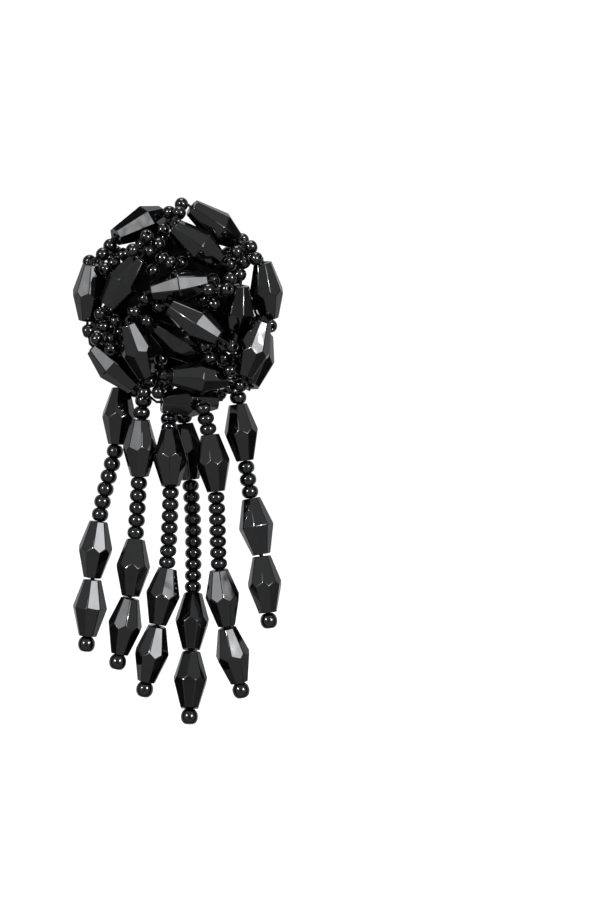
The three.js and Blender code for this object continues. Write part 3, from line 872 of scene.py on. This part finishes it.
def math_node(operation, *values, clamp=False):
    """The result of a sum with these values or other nodes' results."""
    node = world_nodes.new("ShaderNodeMath")
    node.operation = operation
    node.use_clamp = clamp
    for socket, value in zip(node.inputs, values):
        if isinstance(value, (int, float)):
            socket.default_value = value
        else:
            world_link(value, socket)
    return node.outputs[0]


def along_direction(vector):
    """The cosine between the light's direction and a vector."""
    node = world_nodes.new("ShaderNodeVectorMath")
    node.operation = "DOT_PRODUCT"
    node.inputs[1].default_value = vector
    world_link(direction, node.inputs[0])
    return node.outputs["Value"]


def fade(value, low, high):
    """Rises smoothly from 0 at low to 1 at high."""
    node = world_nodes.new("ShaderNodeMapRange")
    node.interpolation_type = "SMOOTHSTEP"
    node.inputs["From Min"].default_value = low
    node.inputs["From Max"].default_value = high
    world_link(value, node.inputs["Value"])
    return node.outputs["Result"]


def soft_box(azimuth, elevation, wide, high, edge, middle, core):
    """The light of one soft box, from its row of the table."""
    azimuth, elevation = math.radians(azimuth), math.radians(elevation)
    towards = Vector((math.sin(azimuth) * math.cos(elevation), -math.cos(azimuth) * math.cos(elevation),
                      math.sin(elevation)))
    right = Vector((math.cos(azimuth), math.sin(azimuth), 0))
    up = towards.cross(right)
    across = math_node("ABSOLUTE", along_direction(right))
    rise = math_node("ABSOLUTE", along_direction(up))
    far_across = math_node("DIVIDE", across, math.sin(math.radians(wide)))
    far_up = math_node("DIVIDE", rise, math.sin(math.radians(high)))
    square = math_node(
        "ADD", math_node("POWER", far_across, BOX_SQUARENESS), math_node("POWER", far_up, BOX_SQUARENESS))
    inside = math_node("SUBTRACT", 1.0, fade(square, *BOX_EDGE_FADE))
    even = math_node("MULTIPLY_ADD", math_node("SUBTRACT", 1.0, far_across, clamp=True), middle - edge, edge)
    spot = math_node("ADD", math_node("POWER", across, 2.0), math_node("POWER", rise, 2.0))
    bright = math_node("MULTIPLY", math_node("SUBTRACT", 1.0, fade(spot, 0.0, CORE_SIZE ** 2)), core)
    light = math_node("ADD", math_node("MULTIPLY", inside, even), bright)
    return math_node("MULTIPLY", light, fade(along_direction(towards), *BOX_SIDE_FADE))


forward = along_direction(FACE)
upward = along_direction(ALONG)
low_down = math_node("MULTIPLY_ADD", fade(upward, *LOW_FADE), 1 - LOW_SHARE, LOW_SHARE)
high_up = math_node("SUBTRACT", 1.0, fade(upward, *HIGH_FADE))
ahead = math_node("MULTIPLY_ADD", fade(forward, *AHEAD_FADE), AHEAD_SHARE - 1, 1.0)
in_front = math_node("MULTIPLY", fade(forward, *SIDE_FADE), ahead)
room = math_node("MULTIPLY", math_node("MULTIPLY", in_front, high_up), low_down)
rear = math_node("SUBTRACT", 1.0, fade(forward, *REAR_FADE))
glow = math_node(
    "ADD", math_node("MULTIPLY", room, ROOM_LIGHT), math_node("MULTIPLY_ADD", rear, REAR_LIGHT, LEAST_LIGHT))
for row in SOFT_BOXES:
    glow = math_node("ADD", glow, soft_box(**dict(zip(SOFT_BOX_COLUMNS, row))))
background = world_nodes["Background"]
background.inputs["Color"].default_value = (0.96, 0.975, 1.0, 1)
world_link(glow, background.inputs["Strength"])

# Camera: level with the middle of the photograph, far off with a long lens
CAMERA_PLACE = Vector((23.06, -700.0, -26.9))
camera_data = bpy.data.cameras.new("camera")
camera_data.lens = 150
camera_data.sensor_width = 36
camera_data.clip_start = 0.01
camera = bpy.data.objects.new("camera", camera_data)
camera.location = CAMERA_PLACE * MM
camera.rotation_euler = (math.pi / 2, 0, 0)
bpy.context.scene.collection.objects.link(camera)
bpy.context.scene.camera = camera
bpy.context.scene.view_settings.view_transform = "Standard"
